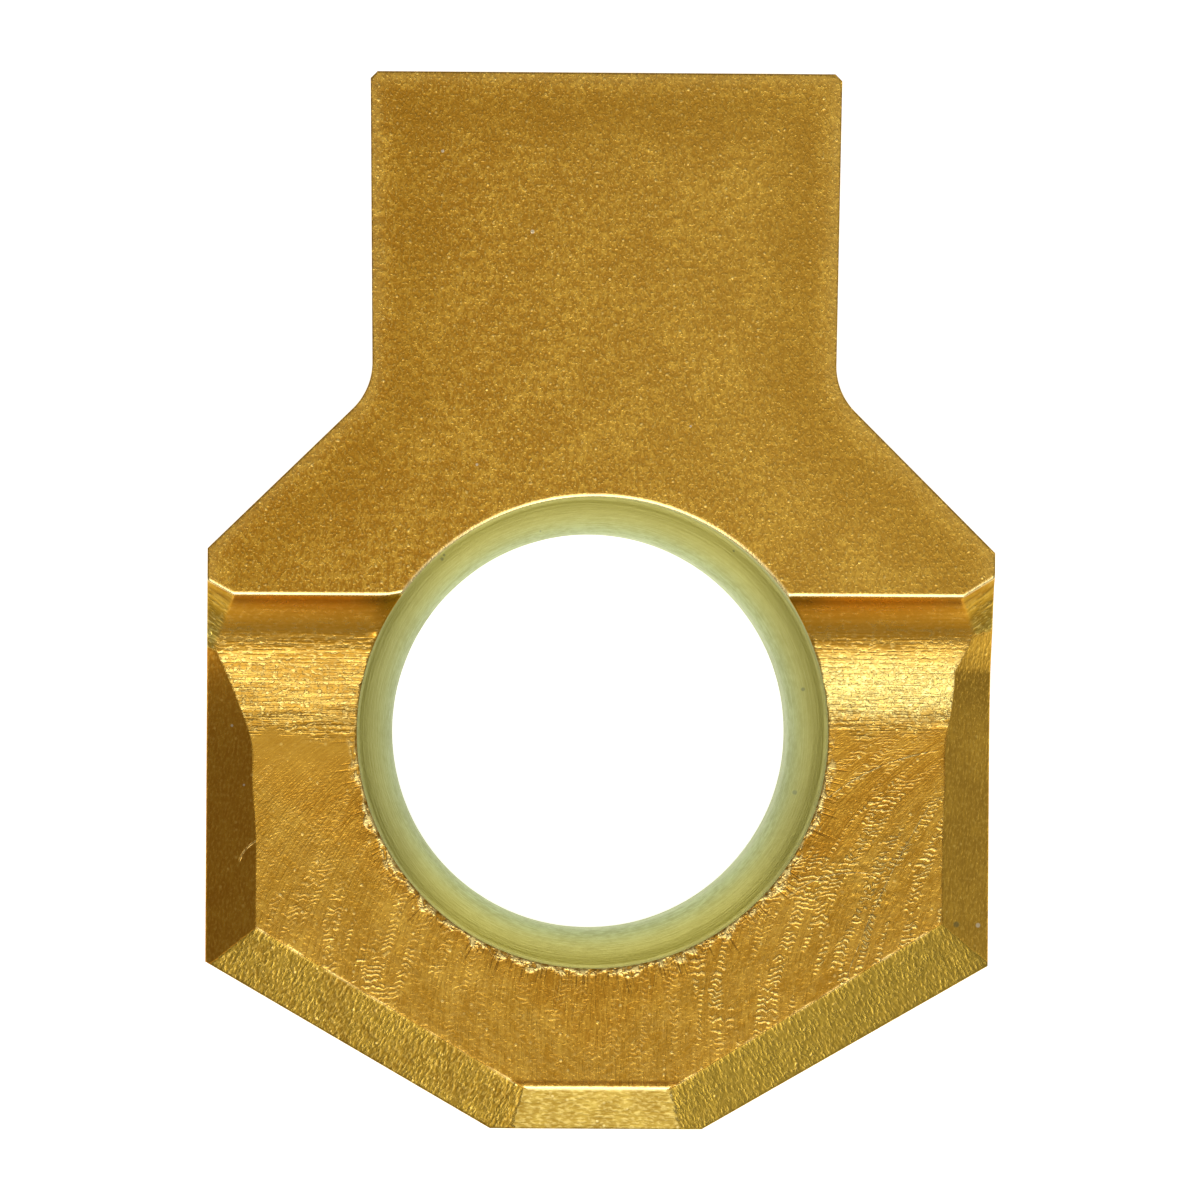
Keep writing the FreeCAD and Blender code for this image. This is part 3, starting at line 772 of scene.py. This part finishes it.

# further colours laid over the coat, some of them painted highlight, reflection, light and shade, each with the
# share of it that is laid over what is there
shades = {
    "floorFoot": (0.5, rgb(0.68, 0.365, 0.040)),
    "covePaintedHighlight": (1.0, rgb(0.99, 0.80, 0.25)), "coveGranuleGlint": (1.0, rgb(1.0, 0.84, 0.31)),
    "coveShadow": (0.75, rgb(0.74, 0.345, 0.022)), "flareShadow": (0.7, rgb(0.45, 0.235, 0.016)),
    "rimStreak": (0.5, rgb(0.22, 0.085, 0.008)), "rimCrumb": (0.9, rgb(1.0, 0.76, 0.27)),
    "sideLeftShade": (0.45, rgb(0.66, 0.275, 0.019)), "sideRightLight": (0.35, rgb(0.86, 0.56, 0.075)),
    "lowerRight": (0.40, rgb(0.66, 0.45, 0.060)), "rakeRight": (0.26, rgb(0.86, 0.57, 0.10)),
    "rakeInner": (0.35, rgb(0.42, 0.20, 0.013)), "rakeBorder": (0.22, rgb(0.80, 0.53, 0.12)),
    "seatTanReflection": (1.0, rgb(0.74, 0.64, 0.150)), "seatBackShade": (0.30, rgb(0.24, 0.22, 0.06)),
    "seatLeftShade": (0.25, rgb(0.18, 0.22, 0.07)), "seatRimShade": (0.35, rgb(0.26, 0.21, 0.05)),
    "seatSidesShade": (0.45, rgb(0.22, 0.21, 0.06)),
    "scratch": (0.8, rgb(1.0, 0.74, 0.26)), "worn": (0.9, rgb(1.0, 0.82, 0.38)),
    "shaded": (1.0, rgb(0.22, 0.08, 0.006)),
    "dust": (0.6, rgb(0.95, 0.86, 0.62)), "stain": (0.6, rgb(0.14, 0.15, 0.07)),
}

# what every coat has in common
coatSpread = {
    "patch": 0.9, "roughness": 0.10,             # wide patches in the tone, spread of the roughness
    # a speck's share of the pale colour is a painted glint
    "speckShare": 0.62, "speckPaintedGlint": 0.8,        # how many cells hold a speck, how pale it is
    "speckCore": 0.10, "speckEdge": 0.30,        # its size as a share of its cell
    "speckHeight": 0.0040, "scratchHeight": 0.010,
    "coatRoughness": 0.3,
}


def meshField(start, name):
    # a field of the mesh, as a place or as a number
    output = 1 if name in placeFields else 2
    return start.node("ShaderNodeAttribute", {"attribute_name": name}, output=output)


def partsOf(place):
    # the three coordinates of a place
    split = place.node("ShaderNodeSeparateXYZ", None, {0: place}).socket.node
    return [Signal(place.tree, socket) for socket in split.outputs]


def distanceFrom(sideways, upwards, centre):
    # the root of the two offsets squared and added
    offX, offY = sideways - centre[0], upwards - centre[1]
    return sideways.math("SQRT", offX * offX + offY * offY)


def overlay(mask, colour, name):
    # a named shade laid over a colour: mask times the shade's own share
    share, shade = shades[name]
    return (mask * share).blend(colour, shade)


def mixLooks(share, first, second):
    # two looks, each a colour, a roughness and a height, with share as the part of the second
    numbers = [under + (over - under) * share for under, over in zip(first[1:], second[1:])]
    return share.blend(first[0], second[0]), *numbers


def coatLook(start, here, look, grainName):
    # one kind of ground surface: share of the light colour = 0.5 + contrast * (each layer's rise - 0.5),
    # a wide patch noise added; crests and scattered specks are painted pale, a painted glint in the colour
    grainPlace = meshField(start, grainName)
    kept = 0.0
    if "columns" in look:
        columnWidth, columnLength = look["columns"]
        columns = grainPlace.stretch((1 / columnWidth, 1 / columnLength, 1.0)).noise(1.0, 1.0, 0.5)
        kept = columns.rise(0.47, 0.58) * meshField(start, "busy")
    tone = (here.noise(look["patch"], 3.0, 0.55) - 0.5) * coatSpread["patch"]
    mottleCell, mottle = look["mottle"]
    tone = tone + (here.noise(mottleCell, 1.0, 0.5) - 0.5) * mottle
    height, paintedCrestHighlight = 0.0, 0.0
    for acrossCell, alongCell, low, high, lift, keep, pale in look["layers"]:
        cellPlace = grainPlace.stretch((1 / acrossCell, 1 / alongCell, 1 / alongCell))
        raised = cellPlace.noise(1.0, 2.0, 0.55).rise(low, high)
        if keep:
            raised = raised * (kept * keep + (1 - keep))
        height = height + raised * lift
        tone = tone + (raised - 0.5 * (1 - keep)) * look["contrast"]
        if pale:
            paintedCrestHighlight = paintedCrestHighlight + raised * pale
    if "ladder" in look:
        # rungs of the wheel's chatter: a wave along the strokes, broken into short dashes in columns, with
        # painted glints on them
        pitch, dashWidth, dashLength, lift, pale = look["ladder"]
        runs = partsOf(grainPlace)[1]
        phase = grainPlace.stretch((1 / dashWidth, 1 / dashLength, 1.0)).noise(1.0, 1.0, 0.5)
        rung = start.math("SINE", (runs / pitch + phase * 3.0) * 2 * math.pi).rise(-0.3, 0.9)
        dashes = grainPlace.stretch((1 / dashWidth, 1 / pitch, 1.0)).noise(1.3, 0.0, 0.5).rise(0.36, 0.50)
        rung = rung * dashes * kept
        height = height + rung * lift
        tone = tone + (rung - 0.2) * look["contrast"]
        paintedCrestHighlight = paintedCrestHighlight + rung * pale
    share = (tone + 0.5).rise(0.0, 1.0)

    # specks: small raised bumps, each in its own cell, painted pale as painted glints
    cells = start.node("ShaderNodeTexVoronoi", {"feature": "F1"},
                       {"Vector": here, "Scale": 1 / look["speckCell"]})
    pick = start.node("ShaderNodeSeparateColor", None, {0: Signal(start.tree, cells.socket.node.outputs[1])})
    speckBumpsAndGlints = pick.rise(1.0 - look["speck"] * coatSpread["speckShare"], 1.0)
    speckBumpsAndGlints = speckBumpsAndGlints * (1 - cells.rise(coatSpread["speckCore"], coatSpread["speckEdge"]))
    # painted highlight: crests and specks take the pale glint colour
    paintedHighlightShare = speckBumpsAndGlints * coatSpread["speckPaintedGlint"] + paintedCrestHighlight
    colour = share.blend(look["deep"], look["light"])
    colour = paintedHighlightShare.math("MINIMUM", paintedHighlightShare, 1.0).blend(colour, look["pale"])
    roughness = look["roughness"] - (share - 0.5) * coatSpread["roughness"]
    return colour, roughness, height + speckBumpsAndGlints * coatSpread["speckHeight"]


def arcMask(sideways, upwards, arc):
    # 1 on a thin arc: distance from its centre close to its radius, within its ranges of x and y
    centre, radius, fromX, toX, fromY, toY, width = arc
    off = sideways.math("ABSOLUTE", distanceFrom(sideways, upwards, centre) - radius)
    inX = sideways.rise(fromX, fromX + 0.15) * (1 - sideways.rise(toX - 0.3, toX))
    inY = upwards.rise(fromY, fromY + 0.1) * (1 - upwards.rise(toY - 0.1, toY))
    return (1 - off.rise(width * 0.4, width)) * inX * inY


def groundCoat(start, here, looks):
    # the floor's look, changed to the hollow's and then to that of its turned ends by the shares
    # that the mesh holds, and torn beside the lower rim of the bore
    sideways, upwards, _ = partsOf(here)
    colour, roughness, height = coatLook(start, here, looks[0], "grain")

    # the floor is smoother below the hollow, more so on the left
    left = 1 - sideways.rise(-2.0, 2.0)
    foot = upwards.rise(-1.6, -0.2)
    height = height * (1 - foot * (left * 0.35 + 0.5))
    colour = overlay(foot * left, colour, "floorFoot")

    # the hollow's ridges fade out towards its edge; its middle, that faces the light, is paler as a painted
    # highlight, its granules get painted glints and its upper part painted shadow
    behind = partsOf(meshField(start, "hollowGrain"))[0]
    coveColour, coveRoughness, coveBump = coatLook(start, here, looks[1], "hollowGrain")
    coveBump = coveBump * (behind.rise(0.55, 1.70) * 0.92 + 0.08)
    granuleBumpsAndGlints = here.noise(0.085, 2.0, 0.6).rise(0.42, 0.60)
    granuleBumpsAndGlints = granuleBumpsAndGlints * behind.rise(1.1, 1.6) * (1 - behind.rise(2.3, 2.7))
    coveBump = coveBump + granuleBumpsAndGlints * (sideways.rise(-4.0, 6.0) * 0.0014 + 0.0022)
    pale = behind.rise(0.85, 1.80) * (1 - behind.rise(2.00, 2.62))
    pale = pale * (sideways.rise(-6.0, 6.0) * 0.40 + 0.04)
    coveColour = overlay(pale, coveColour, "covePaintedHighlight")
    pale = granuleBumpsAndGlints * (sideways.rise(-4.0, 6.0) * 0.38 + 0.04)
    coveColour = overlay(pale, coveColour, "coveGranuleGlint")
    coveColour = overlay(1 - behind.rise(0.45, 1.25), coveColour, "coveShadow")
    colour, roughness, height = mixLooks(
        meshField(start, "hollow"), (colour, roughness, height), (coveColour, coveRoughness, coveBump))

    # its turned ends
    flareColour, flareRoughness, flareBump = coatLook(start, here, looks[2], "flareGrain")
    flareColour = overlay(1 - behind.rise(0.25, 1.0), flareColour, "flareShadow")
    colour, roughness, height = mixLooks(
        meshField(start, "flared"), (colour, roughness, height), (flareColour, flareRoughness, flareBump))

    # torn lower rim of the bore: pale crumbs close to it, dark streaks that run away from it
    rimPlace = meshField(start, "rimPlace")
    away = partsOf(rimPlace)[1]
    low = 1 - upwards.rise(-1.6, 0.8)
    reach = rimPlace.stretch((1 / 0.5, 0.0, 0.0)).noise(1.0, 1.0, 0.5).rise(0.3, 0.7)
    crumbs = rimPlace.stretch((1 / 0.17, 1 / 0.13, 1.0)).noise(1.0, 2.0, 0.6).rise(0.40, 0.60)
    crumbs = crumbs * (1 - (away - reach * 0.20).rise(0.0, 0.08)) * low
    streaks = rimPlace.stretch((1 / 0.060, 1 / 1.4, 1.0)).noise(1.0, 1.0, 0.5).rise(0.52, 0.68)
    streaks = streaks * (1 - (away - reach * 0.5).rise(-0.1, 0.25)) * low
    colour = overlay(streaks, colour, "rimStreak")
    colour = overlay(crumbs, colour, "rimCrumb")
    return colour, roughness, height * (1 - crumbs * 0.5) + crumbs * 0.011 - streaks * 0.005


def coatedFinish(name, looks):
    # gold coat over ground carbide, with what sets each zone apart
    material = bpy.data.materials.new("coated" + name[0].upper() + name[1:])
    material.use_nodes = True
    material.node_tree.nodes.clear()
    start = Signal(material.node_tree)
    place = start.node("ShaderNodeTexCoord", output=3)
    here = start.node("ShaderNodeVectorMath", {"operation": "SCALE"}, {0: place, "Scale": 1 / mm})
    sideways, upwards, depth = partsOf(here)
    metallic, tint = 1.0, rgb(1.0, 0.80, 0.46)
    if name == "ground":
        colour, roughness, height = groundCoat(start, here, looks)
    else:
        colour, roughness, height = coatLook(start, here, looks[0], "grain")
    if name == "sideFacet":
        # smoother and redder on the left, paler with clearer strokes on the right; the redder, darker left is
        # painted shade and the paler right is painted light
        right = sideways.rise(-1.0, 1.0)
        colour = overlay(1 - right, colour, "sideLeftShade")
        colour = overlay(right, colour, "sideRightLight")
        height = height * (right * 0.45 + 0.55)
    if name == "lowerFacet":
        colour = overlay(sideways.rise(-1.0, 1.0), colour, "lowerRight")
    if name == "rake":
        colour = overlay(sideways.rise(-8.0, 9.0), colour, "rakeRight")
        # a paler band along the outline, where the edge was honed, and a darker one inside it
        wander = meshField(start, "border") + (here.noise(0.5) - 0.5) * 0.25
        darker = wander.rise(0.3, 0.6) * (1 - wander.rise(0.7, 2.2))
        colour = overlay(darker, colour, "rakeInner")
        colour = overlay(1 - wander.rise(0.06, 0.34), colour, "rakeBorder")
    if name == "seat":
        # the seat's colours are painted reflection and shade: tan under the rim, greenish and paler further in,
        # darker towards the back, the left, the rim's top and the sides
        sideShadeShare = (sideways * sideways / 20.0).rise(0.25, 0.95)
        colour = overlay(depth.rise(2.5, 3.9), colour, "seatTanReflection")
        colour = overlay(upwards.rise(0.0, 5.0), colour, "seatBackShade")
        colour = overlay(sideways.rise(-2.5, -4.5), colour, "seatLeftShade")
        colour = overlay(depth.rise(4.08, 4.2), colour, "seatRimShade")
        colour = overlay(sideShadeShare, colour, "seatSidesShade")
        metallic, tint = 0.5, rgb(0.80, 0.92, 0.55)
    if name in scratches:
        broken = here.noise(0.12, 1.0, 0.5).rise(0.38, 0.60) * 0.8 + 0.2
        for arc in scratches[name]:
            mask = arcMask(sideways, upwards, arc) * broken
            colour = overlay(mask, colour, "scratch")
            height = height + mask * coatSpread["scratchHeight"]
    for centre, radius, kind in spots.get(name, []):
        spot = 1 - distanceFrom(sideways, upwards, centre).rise(radius * 0.5, radius)
        colour = overlay(spot, colour, kind)

    # worn edges are smooth and painted bright, a painted highlight on their real wear, and a painted shaded line
    # runs beside them
    honedSheenAndShade = meshField(start, "honedSheenAndShade")
    worn = honedSheenAndShade.math("MAXIMUM", honedSheenAndShade, 0.0)
    colour = overlay(worn, colour, "worn")
    colour = overlay(honedSheenAndShade.math("MAXIMUM", 0.0 - honedSheenAndShade, 0.0), colour, "shaded")
    height = height * (1 - honedSheenAndShade.rise(0.0, 0.6) * 0.8)
    roughness = roughness - worn * 0.06

    bump = start.node("ShaderNodeBump", None, {"Strength": 1.0, "Distance": mm, "Height": height})
    surface = start.node("ShaderNodeBsdfPrincipled", None, {
        "Base Color": colour, "Metallic": metallic, "Roughness": roughness, "Normal": bump,
        "Coat Weight": looks[0]["coat"], "Coat Roughness": coatSpread["coatRoughness"],
        "Specular Tint": tint,
    })
    start.node("ShaderNodeOutputMaterial", None, {0: surface})
    return material


looksOf = {name: [finishes[name]] for name in zones if name != "ground"}
looksOf["ground"] = [finishes["floor"], finishes["cove"], finishes["flare"]]
coats = [coatedFinish(name, looksOf[name]) for name in zones]
print("finishes made:", len(coats))


def makeInsert():
    grid = insertGrid()
    lines, rows = grid["zone"].shape
    faces = gridFaces(lines, rows)
    flatZone = grid["zone"].ravel()
    faceZone = np.sort(flatZone[faces], 1)[:, 1]
    insert = meshObject("insert", grid["point"].reshape(-1, 3) * mm, faces, coats, faceZone)
    attributes = insert.data.attributes
    for name in placeFields:
        values = grid[name].astype(np.float32).ravel()
        attributes.new(name, "FLOAT_VECTOR", "POINT").data.foreach_set("vector", values)
    for name in valueFields:
        values = grid[name].astype(np.float32).ravel()
        attributes.new(name, "FLOAT", "POINT").data.foreach_set("value", values)
    return insert


insert = makeInsert()
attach(insert, body)
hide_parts("grooving_insert")
print("insert made:", len(insert.data.vertices), "points")


studio = {
    # metres, with the table a hair below the insert's back
    "tableSize": 6.0, "tableDrop": 0.00002,
    "tableColour": rgb(0.86, 0.86, 0.86), "tableRoughness": 0.9, "tableGlow": 0.9,
    # millimetres from the insert over which the glow falls off to its far share
    "glowFrom": 22.0, "glowTo": 60.0, "glowFar": 0.4,
    "sky": 0.25,
    # name, direction off vertical towards (x, y), distance and size in metres, radiance
    "lamps": [
        ("frontSoftbox", 38, (0.0, -1.0), 0.75, (0.5, 0.62), 2.7),
        ("topSoftbox", 0, (0.0, 1.0), 0.9, (0.66, 0.50), 0.51),
        ("sideSoftbox", 62, (1.0, 0.0), 0.8, (0.6, 0.5), 0.25),
    ],
}


def makeTable():
    half = studio["tableSize"] / 2
    low = -studio["tableDrop"]
    corners = np.array([[-half, -half, low], [half, -half, low], [half, half, low], [-half, half, low]])
    material = bpy.data.materials.new("whiteTable")
    material.use_nodes = True
    surface = material.node_tree.nodes["Principled BSDF"]
    surface.inputs["Base Color"].default_value = studio["tableColour"]
    surface.inputs["Roughness"].default_value = studio["tableRoughness"]
    start = Signal(material.node_tree)
    place = start.node("ShaderNodeTexCoord", output=3)
    away = start.node("ShaderNodeVectorMath", {"operation": "LENGTH"}, {0: place}, 1)
    fall = away.rise(studio["glowFrom"] * mm, studio["glowTo"] * mm)
    glow = fall.blend(rgb(1, 1, 1), rgb(*[studio["glowFar"]] * 3))
    material.node_tree.links.new(glow.socket, surface.inputs["Emission Color"])
    surface.inputs["Emission Strength"].default_value = studio["tableGlow"]
    table = meshObject("table", corners, np.array([[0, 1, 2, 3]]), [material])


def makeLamp(name, tilt, way, distance, sides, radiance):
    out = sind(tilt)
    place = Vector((way[0] * out, way[1] * out, cosd(tilt))) * distance
    data = bpy.data.lights.new(name, "AREA")
    data.shape = "RECTANGLE"
    data.size, data.size_y = sides
    data.energy = radiance * math.pi * sides[0] * sides[1]
    lamp = bpy.data.objects.new(name, data)
    bpy.context.scene.collection.objects.link(lamp)
    lamp.matrix_world = Matrix.Translation(place) @ place.to_track_quat("Z", "Y").to_matrix().to_4x4()


makeTable()
for lamp in studio["lamps"]:
    makeLamp(*lamp)
world = bpy.data.worlds.new("world")
bpy.context.scene.world = world
world.use_nodes = True
world.node_tree.nodes["Background"].inputs["Color"].default_value = rgb(1, 1, 1)
world.node_tree.nodes["Background"].inputs["Strength"].default_value = studio["sky"]
bpy.context.scene.view_settings.view_transform = "Standard"
print("studio made")
